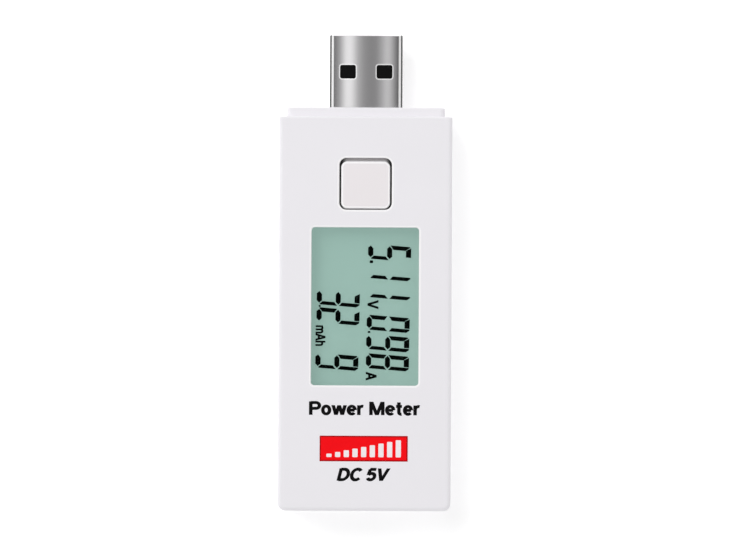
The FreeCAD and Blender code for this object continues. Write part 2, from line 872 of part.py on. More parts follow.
def all_nodes():
    plug_strips = plug_contacts()
    socket_strips = socket_contacts()
    nodes = {
        "front_cover": front_cover(),
        "back_cover": back_cover(),
        "display_window": display_window(),
        "display_tape": display_tape(),
        "connector_strips": connector_strips(),
        "main_board": main_board(),
        "board_screws": Part.makeCompound([board_screw(x, y) for x, y in screw_places]),
        "plug_shell": plug_shell(),
        "plug_insulator": plug_insulator(plug_strips),
        "plug_contacts": plug_strips,
        "socket_shell": socket_shell(),
        "socket_insulator": socket_insulator(socket_strips),
        "socket_contacts": socket_strips,
        "button_cap": button_cap(),
        "switch_body": switch_body(),
        "switch_cover": switch_cover(),
        "switch_plunger": switch_plunger(),
        "switch_dome": switch_dome(),
        "switch_terminals": switch_terminals(),
        "current_shunt": plain_part(shunt_size, shunt_place),
        "crystal": crystal(),
        "chip_capacitors": plain_parts(capacitor_size, capacitor_places),
        "chip_resistors": plain_parts(resistor_size, resistor_places),
    }
    nodes.update(display_panel())
    nodes.update(chips())
    return nodes


os.makedirs("parts", exist_ok=True)
for name, shape in all_nodes().items():
    shape.exportStep(os.path.join("parts", name + ".step"))
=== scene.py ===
import math
import bpy
import numpy as np
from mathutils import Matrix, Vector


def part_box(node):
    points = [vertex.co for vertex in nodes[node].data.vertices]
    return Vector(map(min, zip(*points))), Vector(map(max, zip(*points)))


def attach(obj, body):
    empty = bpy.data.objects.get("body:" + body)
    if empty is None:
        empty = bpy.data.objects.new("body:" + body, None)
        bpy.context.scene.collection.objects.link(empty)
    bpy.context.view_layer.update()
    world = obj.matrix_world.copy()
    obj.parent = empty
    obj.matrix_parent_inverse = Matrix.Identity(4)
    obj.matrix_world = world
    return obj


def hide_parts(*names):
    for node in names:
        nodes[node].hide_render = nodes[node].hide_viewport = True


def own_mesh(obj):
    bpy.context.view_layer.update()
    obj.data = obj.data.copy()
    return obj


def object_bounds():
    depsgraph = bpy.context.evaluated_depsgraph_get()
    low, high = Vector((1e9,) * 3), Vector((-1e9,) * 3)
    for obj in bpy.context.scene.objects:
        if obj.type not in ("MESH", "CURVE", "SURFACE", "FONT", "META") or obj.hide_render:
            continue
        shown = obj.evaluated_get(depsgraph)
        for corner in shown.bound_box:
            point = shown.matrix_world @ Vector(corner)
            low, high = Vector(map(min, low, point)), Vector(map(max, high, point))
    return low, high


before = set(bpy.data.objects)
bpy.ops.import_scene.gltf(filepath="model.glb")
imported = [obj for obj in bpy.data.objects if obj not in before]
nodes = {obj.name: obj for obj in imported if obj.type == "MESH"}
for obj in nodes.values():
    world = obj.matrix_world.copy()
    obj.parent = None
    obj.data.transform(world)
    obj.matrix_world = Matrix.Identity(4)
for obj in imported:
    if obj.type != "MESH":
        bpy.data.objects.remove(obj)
cad_low, cad_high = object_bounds()
MM = 0.001

# ---------------------------------------------------------------------------------------------
# The casing: two halves moulded in white ABS with a satin, finely spark-eroded face, snapped
# together along the middle. The moulding is faintly cloudy, and its pores are a tenth of a mm.


class Wire:
    """A value on its way through a shader. Python's operators on it lay down Math nodes."""

    def __init__(self, nodes_of, socket):
        self.nodes_of = nodes_of
        self.socket = socket

    def _math(self, operation, first, second):
        return self.nodes_of.node("Math", {"operation": operation}, {0: first, 1: second})

    def __add__(self, other):
        return self._math("ADD", self, other)

    def __sub__(self, other):
        return self._math("SUBTRACT", self, other)

    def __rsub__(self, other):
        return self._math("SUBTRACT", other, self)

    def __mul__(self, other):
        return self._math("MULTIPLY", self, other)

    def __pow__(self, other):
        return self._math("POWER", self, other)

    def __abs__(self):
        return self._math("ABSOLUTE", self, 0.0)

    def over(self, other):
        """The larger of the two."""
        return self._math("MAXIMUM", self, other)

    def under(self, other):
        """The smaller of the two."""
        return self._math("MINIMUM", self, other)

    __radd__ = __add__
    __rmul__ = __mul__


class Finish:
    """One finish: a node tree, with the few kinds of pattern that the finishes share."""

    def __init__(self, name, holder=None):
        self.holder = holder or bpy.data.materials.new(name)
        self.holder.use_nodes = True
        self.tree = self.holder.node_tree
        self.tree.nodes.clear()

    def node(self, kind, settings=None, values=None, output=0):
        """Any node: its settings first, then the values or links of its sockets."""
        made = self.tree.nodes.new("ShaderNode" + kind)
        for name, value in (settings or {}).items():
            if name == "stops":
                ramp = made.color_ramp
                while len(ramp.elements) < len(value):
                    ramp.elements.new(0.5)
                for element, (position, shade) in zip(ramp.elements, value):
                    element.position = position
                    element.color = (shade, shade, shade, 1.0)
            else:
                setattr(made, name, value)
        for name, value in (values or {}).items():
            if isinstance(value, Wire):
                self.tree.links.new(value.socket, made.inputs[name])
            else:
                made.inputs[name].default_value = value
        return Wire(self, made.outputs[output])

    def place(self):
        """Object coordinates, which are the frame's own, in metres."""
        return self.node("TexCoord", output="Object")

    def along(self, axis):
        """One coordinate of the place on the object, in metres."""
        return self.node("SeparateXYZ", None, {0: self.place()}, output=axis)

    def noise(self, size, detail=2.0, stretch=(1.0, 1.0, 1.0)):
        """Noise from 0 to 1 whose blotches are about size metres across."""
        placed = self.node("Mapping", None, {"Vector": self.place(), "Scale": stretch})
        values = {"Vector": placed, "Scale": 1.0 / size, "Detail": detail}
        return self.node("TexNoise", None, values, output=0)

    def between(self, share, low, high):
        """Colour low where share is 0 and colour high where it is 1."""
        settings = {"data_type": "RGBA", "clamp_factor": True}
        values = {0: share, 6: (*low, 1.0), 7: (*high, 1.0)}
        return self.node("Mix", settings, values, output=2)

    def mixed(self, share, first, second):
        """Wire first where share is 0, and colour second where it is 1."""
        settings = {"data_type": "RGBA", "clamp_factor": True}
        return self.node("Mix", settings, {0: share, 6: first, 7: (*second, 1.0)}, output=2)

    def steps(self, value, low, high):
        """0 below low, 1 above high, and a smooth step between them."""
        settings = {"interpolation_type": "SMOOTHSTEP", "clamp": True}
        return self.node("MapRange", settings, {0: value, 1: low, 2: high})

    def beyond(self, outline):
        """Distance in plan from a rounded rectangle: above 0 outside it and below 0 inside."""
        x, y, wide, tall, corner = outline
        across = abs(self.along("X") - x) - (wide / 2 - corner)
        down = abs(self.along("Y") - y) - (tall / 2 - corner)
        out = across.over(0.0) ** 2 + down.over(0.0) ** 2
        return out ** 0.5 + across.over(down).under(0.0) - corner

    def bump(self, height, depth):
        """A normal for height from 0 to 1 standing depth metres proud."""
        return self.node("Bump", None, {"Height": height, "Distance": depth, "Strength": 1.0})

    def surface(self, **sockets):
        """The Principled shader, with sockets by their names, and the output."""
        values = {name.replace("_", " "): value for name, value in sockets.items()}
        return self.out(self.node("BsdfPrincipled", None, values))

    def out(self, shader):
        """Sends shader to the output and gives back the material."""
        end = self.tree.nodes.new("ShaderNodeOutputMaterial")
        self.tree.links.new(shader.socket, end.inputs["Surface"])
        return self.holder


def rgb(red, green, blue):
    """A colour given as on a screen, 0 to 255, as the linear values that a shader works with."""
    shares = np.array([red, green, blue]) / 255.0
    low = shares / 12.92
    high = ((shares + 0.055) / 1.055) ** 2.4
    return tuple(float(v) for v in np.where(shares <= 0.04045, low, high))


def scaled(colour, share):
    """A linear colour made lighter or darker by share."""
    return tuple(min(1.0, c * share) for c in colour)


def dress(material, *names):
    """Gives these nodes of the frame one material."""
    for name in names:
        mesh = nodes[name].data
        mesh.materials.clear()
        mesh.materials.append(material)


def moulded_plastic(name, colour, dullness, pores=0.00022, depth=0.0000035, highlight_rims=(), gap=None):
    """Satin moulded plastic: clouds 11 mm across, pores that roughen it, and a shine that varies.
    Highlight rims are outlines whose edges get a painted highlight, a paler line, each with the
    distances past the outline over which the pale line comes and goes. A gap is an outline, +1 or -1
    for what lies outside or inside it, and the height below which the plastic there is painted dark
    as shade, most on its flanks."""
    finish = Finish(name)
    clouds = finish.noise(0.011)
    grain = finish.noise(pores, detail=3.0)
    skin = finish.between(clouds, scaled(colour, 0.985), scaled(colour, 1.012))
    # Painted highlight: a pale line just past each rim's outline.
    for outline, near, far in highlight_rims:
        distance = finish.beyond(outline)
        rim_highlight = finish.steps(distance, *near) * (1.0 - finish.steps(distance, *far))
        skin = finish.mixed(rim_highlight, skin, highlight_white)
    # Painted shade: down in the gap the plastic turns near black, most on the flanks.
    if gap:
        outline, side, gap_top = gap
        within = finish.steps(finish.beyond(outline) * side, -0.05 * MM, 0.0)
        deep = 1.0 - finish.steps(finish.along("Z"), gap_top - gap_fade, gap_top)
        flanks = finish.steps(abs(finish.along("X")), *gap_flanks)
        painted_gap_shade = within * deep * ((1.0 - flank_shade_share) + flanks * flank_shade_share)
        skin = finish.mixed(painted_gap_shade, skin, gap_shade_grey)
    return finish.surface(
        Base_Color=skin,
        Roughness=dullness + (clouds - 0.5) * 0.08 + (grain - 0.5) * 0.10,
        Normal=finish.bump(grain, depth),
        IOR=1.5,
    )


casing_white = rgb(240, 238, 242)
# White of the painted highlights, and grey, fade and flanks of the painted shade in gaps.
highlight_white = (0.985, 0.975, 0.985)
gap_shade_grey = (0.03, 0.03, 0.03)
gap_fade = 0.25 * MM
gap_flanks = (3.2 * MM, 4.0 * MM)
flank_shade_share = 0.85
cap_low, cap_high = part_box("button_cap")
window_low, window_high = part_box("display_window")
button_y = (cap_low.y + cap_high.y) / 2
display_y = (window_low.y + window_high.y) / 2
button_hole = (0.0, button_y, 8.6 * MM, 8.5 * MM, 1.2 * MM)
display_hole = (0.0, display_y, 17.6 * MM, 25.9 * MM, 0.55 * MM)
# Painted highlight along the edges of both holes, and painted shade down in the button's gap.
hole_highlight_band = ((-0.05 * MM, 0.0), (0.20 * MM, 0.40 * MM))
front_highlights = [(button_hole, *hole_highlight_band), (display_hole, *hole_highlight_band)]
front_gap = (button_hole, -1.0, cad_high.z - 0.2 * MM)
front_plastic = moulded_plastic("casing_front", casing_white, 0.40, highlight_rims=front_highlights, gap=front_gap)
dress(front_plastic, "front_cover")
dress(moulded_plastic("casing_back", casing_white, 0.42), "back_cover")

# ---------------------------------------------------------------------------------------------
# The legends: pad-printed ink on the front face. Black lettering above and below a red label
# that carries a white row of level bars. The ink is about as thick as a hair is wide.

face_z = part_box("front_cover")[1].z
INK = 0.018 * MM
HAIR = 0.0003 * MM
upper_text = {"name": "legend_upper", "words": "Power Meter", "x": 0.0, "y": -22.2 * MM,
              "wide": 18.2 * MM, "tall": 2.2 * MM, "weight": 0.225, "lean": 0.0}
lower_text = {"name": "legend_lower", "words": "DC 5V", "x": -0.1 * MM, "y": -33.05 * MM,
              "wide": 8.85 * MM, "tall": 2.05 * MM, "weight": 0.245, "lean": 0.22}
label = {"x": -0.1 * MM, "y": -28.8 * MM, "wide": 14.45 * MM, "tall": 4.2 * MM}


def piece(name, points, faces, material, body="meter"):
    """A mesh object at the origin from arrays of points and faces, riding on a body."""
    mesh = bpy.data.meshes.new(name)
    mesh.from_pydata([tuple(p) for p in points], [], [tuple(f) for f in faces])
    mesh.update()
    mesh.materials.append(material)
    made = bpy.data.objects.new(name, mesh)
    bpy.context.scene.collection.objects.link(made)
    if body:
        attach(made, body)
    return made


def slabs(outlines, low, high):
    """Points and faces of flat slabs. Each outline runs anticlockwise; its points are repeated at
    heights low and high, and side i joins points i and i + 1 of both rings."""
    points, faces, start = [], [], 0
    for outline in outlines:
        ring = np.asarray(outline, float)
        count = len(ring)
        flat = np.ones((count, 1))
        points.append(np.hstack([ring, flat * low]))
        points.append(np.hstack([ring, flat * high]))
        i = np.arange(count)
        j = (i + 1) % count
        sides = np.stack([i, j, j + count, i + count], axis=1) + start
        faces += sides.tolist()
        faces.append((i[::-1] + start).tolist())
        faces.append((i + count + start).tolist())
        start += 2 * count
    return np.vstack(points), faces


def oblong(x, y, wide, tall, corner, around=5):
    """A rectangle's outline, anticlockwise, with quarter circles of radius corner at its corners."""
    turn = np.linspace(0.0, math.pi / 2, around)
    centres = np.array([(1, 1), (-1, 1), (-1, -1), (1, -1)]) * (wide / 2 - corner, tall / 2 - corner)
    angles = turn[None, :] + np.arange(4)[:, None] * math.pi / 2
    arcs = centres[:, None, :] + corner * np.stack([np.cos(angles), np.sin(angles)], axis=2)
    return arcs.reshape(-1, 2) + (x, y)


def arc(x, y, wide, tall, start, end, count=13):
    """Part of an ellipse round (x, y), half-axes wide and tall, from angle start to end in degrees."""
    turn = np.radians(np.linspace(start, end, count))
    return np.stack([x + wide * np.cos(turn), y + tall * np.sin(turn)], axis=1)


def line(*spots):
    """A path straight from each place to the next."""
    return np.array(spots, float)


def joined(*parts):
    """Paths set end to end as one."""
    return np.vstack(parts)


# Each letter has its width and the middle lines of its strokes, on a capital one unit tall.
LETTERS = {
    " ": (0.30, []),
    "P": (0.76, [line((0.09, 0), (0.09, 1)),
                 joined([(0.09, 0.915)], arc(0.43, 0.70, 0.21, 0.215, 90, -90), [(0.09, 0.485)])]),
    "o": (0.68, [arc(0.31, 0.365, 0.215, 0.29, 0, 360, 33)]),
    "w": (0.94, [line((0.07, 0.73), (0.25, 0)), line((0.45, 0.73), (0.25, 0)),
                 line((0.45, 0.73), (0.65, 0)), line((0.83, 0.73), (0.65, 0))]),
    "e": (0.67, [line((0.13, 0.365), (0.50, 0.365)), arc(0.31, 0.365, 0.215, 0.29, 0, 318, 29)]),
    "r": (0.47, [line((0.09, 0), (0.09, 0.73)), arc(0.32, 0.42, 0.225, 0.235, 180, 75)]),
    "M": (1.00, [line((0.09, 0), (0.09, 1)), line((0.84, 0), (0.84, 1)),
                 line((0.12, 1), (0.465, 0)), line((0.81, 1), (0.465, 0))]),
    "t": (0.46, [joined([(0.19, 0.96)], arc(0.33, 0.22, 0.14, 0.145, 180, 285)),
                 line((0.01, 0.66), (0.39, 0.66))]),
    "D": (0.85, [line((0.09, 0), (0.09, 1)),
                 joined([(0.09, 0.915)], arc(0.34, 0.5, 0.34, 0.415, 90, -90), [(0.09, 0.085)])]),
    "C": (0.84, [arc(0.42, 0.5, 0.335, 0.43, 42, 318, 25)]),
    "5": (0.70, [line((0.14, 0.915), (0.58, 0.915)), line((0.165, 0.93), (0.115, 0.46)),
                 arc(0.335, 0.335, 0.245, 0.255, 150, -155, 23)]),
    "V": (0.86, [line((0.09, 1), (0.41, 0)), line((0.73, 1), (0.41, 0))]),
    "A": (0.86, [line((0.07, 0), (0.39, 1)), line((0.71, 0), (0.39, 1)), line((0.19, 0.33), (0.59, 0.33))]),
    "m": (0.92, [line((0.06, 0), (0.06, 0.73)), joined(arc(0.245, 0.48, 0.185, 0.2, 180, 0), [(0.43, 0)]),
                 joined(arc(0.615, 0.48, 0.185, 0.2, 180, 0), [(0.80, 0)])]),
    "h": (0.60, [line((0.06, 0), (0.06, 1)), joined(arc(0.26, 0.48, 0.20, 0.2, 180, 0), [(0.46, 0)])]),
}


def stroke(path, wide):
    """The two sides of a stroke. Each point moves half the width along the mean of its neighbours'
    normals, lengthened at a bend so that the width stays; an upright or slanting bar is cut level."""
    closed = np.allclose(path[0], path[-1])
    steps = np.diff(path, axis=0)
    steps /= np.linalg.norm(steps, axis=1, keepdims=True)
    ahead = np.vstack([steps, steps[:1] if closed else steps[-1:]])
    behind = np.vstack([steps[-1:] if closed else steps[:1], steps])
    mean = ahead + behind
    mean /= np.linalg.norm(mean, axis=1, keepdims=True)
    reach = wide / 2 / np.maximum((mean * ahead).sum(1, keepdims=True), 0.5)
    away = np.stack([-mean[:, 1], mean[:, 0]], axis=1) * reach
    if len(path) == 2 and abs(steps[0, 1]) > 0.1:
        away = np.array([(-wide / 2 / abs(steps[0, 1]) * np.sign(steps[0, 1]), 0.0)] * 2)
    return path + away, path - away


def lettering(words, wide, tall, weight, lean=0.0):
    """Both sides of every stroke of some words, centred on the origin: capitals tall high, the whole
    wide across, strokes weight thick as a share of tall, and each place pushed along by lean times
    its height."""
    sides, at = [], 0.0
    for letter in words:
        advance, paths = LETTERS[letter]
        sides += [tuple(side + (at, 0.0) for side in stroke(path, weight)) for path in paths]
        at += advance
    leant = [tuple(side + np.stack([lean * side[:, 1], 0 * side[:, 1]], axis=1) for side in pair)
             for pair in sides]
    every = np.vstack([side for pair in leant for side in pair])
    low, high = every.min(0), every.max(0)
    size = np.array([wide / (high[0] - low[0]), tall])
    middle = np.array([(low[0] + high[0]) / 2, 0.5])
    return [tuple((side - middle) * size for side in pair) for pair in leant]


def bars_of_ink(pairs, low, high, place):
    """Points and faces of solid strokes. Across each stroke stand four corners, two at each of its
    sides at heights low and high, and quads join each set of four to the next; the ends are shut.
    Each stroke is a hair thinner than the last, so that no two tops share a plane."""
    points, faces, start = [], [], 0
    for order, (left, right) in enumerate(pairs):
        top = high - order * HAIR
        count = len(left)
        left, right = place(left), place(right)
        flat = np.ones((count, 1))
        corners = [np.hstack([left, flat * low]), np.hstack([right, flat * low]),
                   np.hstack([right, flat * top]), np.hstack([left, flat * top])]
        points.append(np.stack(corners, axis=1).reshape(-1, 3))
        i = np.arange(count - 1)[:, None] * 4
        k = np.arange(4)[None, :]
        n = (k + 1) % 4
        quads = np.stack([i + k, i + n, i + n + 4, i + k + 4], axis=2).reshape(-1, 4)
        ends = np.array([(3, 2, 1, 0), (0, 1, 2, 3)]) + np.array([[0], [4 * (count - 1)]])
        faces.append(np.vstack([quads, ends]) + start)
        start += 4 * count
    return np.vstack(points), np.vstack(faces).tolist()


def at_place(x, y):
    """Carries flat places to (x, y) on the face."""
    return lambda spots: spots + (x, y)


def printed_ink(name, colour, dullness, outline=None):
    """Pad-printing ink: a little uneven in thickness, so in colour and shine. It gathers along
    the outline of a filled patch, in a darker line a quarter of a millimetre wide."""
    finish = Finish(name)
    lay = finish.noise(0.0009)
    ink = finish.between(lay, scaled(colour, 0.9), scaled(colour, 1.08))
    if outline:
        gathered = finish.steps(finish.beyond(outline), -0.28 * MM, -0.16 * MM)
        ink = finish.mixed(gathered, ink, scaled(colour, 0.42))
    return finish.surface(
        Base_Color=ink,
        Roughness=dullness + (lay - 0.5) * 0.12,
        Normal=finish.bump(finish.noise(0.00015), 0.000002),
        Specular_IOR_Level=0.12,
    )


black_ink = printed_ink("black_ink", rgb(8, 7, 9), 0.55)
label_patch = (label["x"], label["y"], label["wide"], label["tall"], 0.05 * MM)
red_ink = printed_ink("red_ink", rgb(253, 8, 20), 0.5, label_patch)
white_ink = printed_ink("white_ink", rgb(246, 238, 240), 0.45)

for text in (upper_text, lower_text):
    pairs = lettering(text["words"], text["wide"], text["tall"], text["weight"], text["lean"])
    solid = bars_of_ink(pairs, face_z, face_z + INK, at_place(text["x"], text["y"]))
    piece(text["name"], *solid, black_ink)

piece("legend_label", *slabs([oblong(*label_patch)], face_z, face_z + INK), red_ink)

bar_wide = 0.86 * MM
bar_step = 1.42 * MM
bar_corner = 0.12 * MM
bar_heights = np.linspace(0.55 * MM, 2.80 * MM, 9)
bar_middles = label["x"] + (np.arange(9) - 4) * bar_step
bar_foot = label["y"] - 1.4 * MM
bars = [oblong(middle, bar_foot + tall / 2, bar_wide, tall, bar_corner, around=3)
        for middle, tall in zip(bar_middles, bar_heights)]
piece("legend_bars", *slabs(bars, face_z + INK * 0.5, face_z + INK * 1.6), white_ink)

# ---------------------------------------------------------------------------------------------
# The display window and the panel behind it: a clear moulded window, two sheets of glass with
# a film on each outer face, a sealed edge, and black segments in the cell between the sheets.


def clear_sheet(name, passes, dullness, shine):
    """A clear sheet: what is behind it shows through, coloured by passes, under a gloss that is
    nothing face on and grows towards the edge by shine."""
    finish = Finish(name)
    film = finish.noise(0.004)
    through = finish.node("BsdfTransparent", None, {"Color": (*passes, 1.0)})
    gloss = finish.node("BsdfGlossy", None, {"Roughness": dullness + (film - 0.5) * 0.02})
    edge_on = finish.node("LayerWeight", None, {"Blend": shine}, output="Facing")
    return finish.out(finish.node("MixShader", None, {0: edge_on, 1: through, 2: gloss}))


def rear_film_finish():
    """The film that gives the display its grey-green: a brushed, finely speckled reflector, which
    also has a painted glow that evens out the shade in the display's recess.
    """
    finish = Finish("rear_film")
    cast = finish.noise(0.018)
    speckle = finish.noise(0.00012, detail=3.0)
    tone = cast * 0.6 + speckle * 0.4
    glow_hue = finish.between(tone, scaled(film_green, 0.95), scaled(film_green, 1.05))
    shaded = scaled(film_green, film_shade)
    return finish.surface(
        Base_Color=finish.between(tone, scaled(shaded, 0.95), scaled(shaded, 1.05)),
        Roughness=0.55 + (speckle - 0.5) * 0.2,
        Normal=finish.bump(speckle, 0.000002),
        Emission_Color=glow_hue,
        Emission_Strength=film_painted_glow,
    )


film_green = (0.36, 0.535, 0.486)
film_shade = 0.35
# Strength of the film's painted glow; the panel has no lamp behind it.
film_painted_glow = 0.715
dress(clear_sheet("window", (0.94, 0.955, 0.945), 0.06, 0.05), "display_window")
dress(clear_sheet("panel_glass", (1.0, 1.0, 1.0), 0.05, 0.004), "lcd_front_glass", "lcd_rear_glass")
dress(clear_sheet("front_film", (1.0, 1.0, 1.0), 0.30, 0.004), "lcd_front_polarizer")
dress(rear_film_finish(), "lcd_rear_polarizer")
dress(moulded_plastic("seal", (0.40, 0.46, 0.42), 0.5, pores=0.0001), "lcd_seal")


def black_tape():
    """Black foam tape: a close open-pored foam, dull, dusty on its high spots."""
    finish = Finish("tape")
    pores = finish.noise(0.00018, detail=4.0)
    return finish.surface(
        Base_Color=finish.between(pores, (0.012, 0.012, 0.013), (0.05, 0.05, 0.052)),
        Roughness=0.8 + (pores - 0.5) * 0.2,
        Normal=finish.bump(pores, 0.00003),
    )


dress(black_tape(), "display_tape")


def striped_rubber():
    """The rubber strips that join the panel to the board: pink silicone with black layers."""
    finish = Finish("strip_rubber")
    layer = finish.node("Math", {"operation": "PINGPONG"}, {0: finish.along("X"), 1: 0.00009})
    dark = finish.steps(layer, 0.00004, 0.00005)
    return finish.surface(
        Base_Color=finish.between(dark, (0.62, 0.30, 0.27), (0.02, 0.02, 0.02)),
        Roughness=0.6 + dark * 0.15,
        Normal=finish.bump(dark, 0.00001),
    )


dress(striped_rubber(), "connector_strips")

# ---------------------------------------------------------------------------------------------
# The segments: black shapes in the liquid between the glasses, drawn by the cell's electrodes. A
# digit is 7 mm tall and leans to its right. The display reads along the object's length, so its
# own right is the object's tail end and its own up is the object's +X. Its measures are in mm.

# Each segment's outline round the middle of an upright digit, and the segments of each digit.
SHAPES = {
    "a": [(0.53, 3.54), (-1.06, 3.54), (-0.56, 2.68), (0.53, 2.68)],
    "b": [(0.62, 0.58), (1.22, 0.10), (1.22, 2.95), (0.84, 3.50), (0.62, 3.50)],
    "c": [(0.64, -0.64), (0.64, -2.58), (1.10, -3.07), (1.22, -2.96), (1.22, -0.16)],
    "d": [(-0.97, -3.10), (-0.57, -3.54), (0.57, -3.54), (0.95, -3.12), (0.53, -2.67), (-0.50, -2.67)],
    "e": [(-1.24, -0.14), (-1.24, -3.00), (-1.13, -3.10), (-0.56, -2.58), (-0.56, -0.62)],
    "f": [(-1.24, 0.12), (-0.55, 0.60), (-0.55, 2.60), (-1.10, 3.40), (-1.24, 3.27)],
    "g": [(-1.10, 0.0), (-0.64, -0.42), (0.60, -0.42), (1.01, 0.0), (0.60, 0.42), (-0.64, 0.42)],
}
DIGITS = {"0": "abcdef", "1": "bc", "2": "abged", "3": "abgcd", "5": "afgcd", "8": "abcdefg", "9": "abcdfg"}
# What the cell shows: each digit, point (middle and size) and unit (middle and size).
SHOWN = (
    ("5", -8.76, 4.00), ("1", -5.58, 3.94), ("1", -2.44, 3.90),
    ("0", 2.90, 3.82), ("9", 6.09, 3.76), ("8", 9.22, 3.73),
    ("3", -1.23, -4.40), ("2", 1.70, -4.43), ("9", 9.17, -4.58),
)
POINTS = ((-7.30, 1.01, 0.45, 0.57), (4.24, 0.68, 0.33, 0.45), (0.0, -7.44, 0.30, 0.36))
UNITS = (("V", -0.27, 1.31, 1.5, 1.8), ("A", 11.49, 1.07, 1.45, 1.8), ("mAh", 4.88, -7.28, 3.4, 1.64))
unit_weight = 0.215
segment_lean = math.tan(math.radians(4.15))
turn_angle = math.radians(-0.5)
picture_turn = np.array([[math.cos(turn_angle), math.sin(turn_angle)],
                         [-math.sin(turn_angle), math.cos(turn_angle)]])
picture_y = display_y + 0.05 * MM
front_glass_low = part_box("lcd_front_glass")[0].z
rear_glass_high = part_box("lcd_rear_glass")[1].z
segment_low = rear_glass_high + 0.2 * (front_glass_low - rear_glass_high)
segment_high = rear_glass_high + 0.8 * (front_glass_low - rear_glass_high)


def on_display(spots):
    """Places in the display's own upright frame, in mm, as places on the object, in metres: the
    display's right runs down the object and its up runs to the object's right."""
    spots = np.asarray(spots, float) * MM
    return np.stack([spots[:, 1], picture_y - spots[:, 0]], axis=1)


def digit_outlines(digit, x, y):
    """The outlines of a digit's lit segments: each shape sheared by the lean, turned a little with
    the whole picture, and carried to the digit's middle."""
    outlines = []
    for letter in DIGITS[digit]:
        shape = np.array(SHAPES[letter])
        shape = shape + np.stack([segment_lean * shape[:, 1], 0 * shape[:, 1]], axis=1)
        outlines.append(on_display(shape @ picture_turn + (x, y)))
    return outlines


def turned_at(x, y):
    """Carries a unit's flat places to its own place on the display, turned with the picture."""
    return lambda spots: on_display(spots @ picture_turn + (x, y))


outlines = [o for digit, x, y in SHOWN for o in digit_outlines(digit, x, y)]
outlines += [on_display(oblong(x, y, w, h, 0.12, around=4)) for x, y, w, h in POINTS]


def segment_black():
    """A lit segment: near black, with the faint unevenness of the cell."""
    finish = Finish("segment_black")
    cell = finish.noise(0.0006)
    return finish.surface(
        Base_Color=finish.between(cell, (0.001, 0.002, 0.002), (0.004, 0.006, 0.005)),
        Roughness=0.6 + (cell - 0.5) * 0.1,
        Specular_IOR_Level=0.0,
    )


segments_finish = segment_black()
segments = piece("display_segments", *slabs(outlines, segment_low, segment_high), segments_finish)
segments.visible_shadow = False
for words, x, y, wide, tall in UNITS:
    pairs = lettering(words, wide, tall, unit_weight)
    solid = bars_of_ink(pairs, segment_low, segment_high, turned_at(x, y))
    unit = piece("display_unit_" + words, *solid, segments_finish)
    unit.visible_shadow = False

# ---------------------------------------------------------------------------------------------
# The button: a cap in the casing's plastic on the plunger of a small sprung switch. The switch
# is a black base under a stamped steel cover, with a steel dome that clicks.

cap_head = (0.0, button_y - 0.18 * MM, 8.06 * MM, 7.74 * MM, 1.0 * MM)
cap_highlight_band = ((-0.42 * MM, -0.26 * MM), (0.1 * MM, 0.2 * MM))
# The cap's rim carries a painted highlight, and its walls down in the gap a painted shade.
cap_plastic = moulded_plastic("button", rgb(239, 234, 236), 0.38, highlight_rims=[(cap_head, *cap_highlight_band)],
                              gap=(cap_head, 1.0, 13.55 * MM))
dress(cap_plastic, "button_cap")


def moulded_black(name, colour=(0.016, 0.016, 0.017), dullness=0.42, gloss=0.5):
    """Glass-filled black moulding: fine flow marks and dull specks of glass."""
    finish = Finish(name)
    flow = finish.noise(0.0012, stretch=(1.0, 0.3, 1.0))
    specks = finish.noise(0.00009, detail=3.0)
    return finish.surface(
        Base_Color=finish.between(flow * 0.5 + specks * 0.5, scaled(colour, 0.7), scaled(colour, 1.6)),
        Roughness=dullness + (specks - 0.5) * 0.2,
        Normal=finish.bump(specks, 0.000003),
        Specular_IOR_Level=gloss,
    )


def rolled_metal(name, colour, dullness, size=0.00008, grain=(1.0, 0.06, 1.0), depth=0.0000004):
    """Rolled or drawn metal: fine lines along one direction and slow patches in the polish."""
    finish = Finish(name)
    lines = finish.noise(size, detail=3.0, stretch=grain)
    patches = finish.noise(0.0025)
    return finish.surface(
        Base_Color=finish.between(patches, scaled(colour, 0.93), scaled(colour, 1.05)),
        Metallic=1.0,
        Roughness=dullness + (lines - 0.5) * 0.12 + (patches - 0.5) * 0.06,
        Normal=finish.bump(lines, depth),
    )


dress(moulded_black("switch_plastic"), "switch_body", "switch_plunger")
switch_steel = rolled_metal("switch_steel", (0.60, 0.60, 0.60), 0.28)
dress(switch_steel, "switch_cover", "switch_dome")


def turned(profile, middle, around):
    """Points and faces of a closed turned shape. Point (u, v) is row v of the profile, a radius and
    a height, carried by the angle u round the upright through middle. Both ends of the profile lie
    on that upright, and each is one point that a fan of triangles closes."""
    radius, height = profile[1:-1, 0], profile[1:-1, 1]
    turn = np.linspace(0.0, 2 * math.pi, around, endpoint=False)
    x = middle[0] + np.outer(np.cos(turn), radius)
    y = middle[1] + np.outer(np.sin(turn), radius)
    z = np.tile(height, (around, 1))
    poles = np.array([(*middle, profile[0, 1]), (*middle, profile[-1, 1])])
    points = np.vstack([np.stack([x, y, z], axis=2).reshape(-1, 3), poles])
    rows = len(radius)
    i = np.arange(around)[:, None] * rows
    j = (np.arange(around)[:, None] + 1) % around * rows
    k = np.arange(rows - 1)[None, :]
    quads = np.stack([i + k, i + k + 1, j + k + 1, j + k], axis=2).reshape(-1, 4)
    top, bottom = np.full_like(i, around * rows), np.full_like(i, around * rows + 1)
    fans = np.vstack([np.hstack([top, i, j]), np.hstack([bottom, j + rows - 1, i + rows - 1])])
    return points, quads.tolist() + fans.tolist()


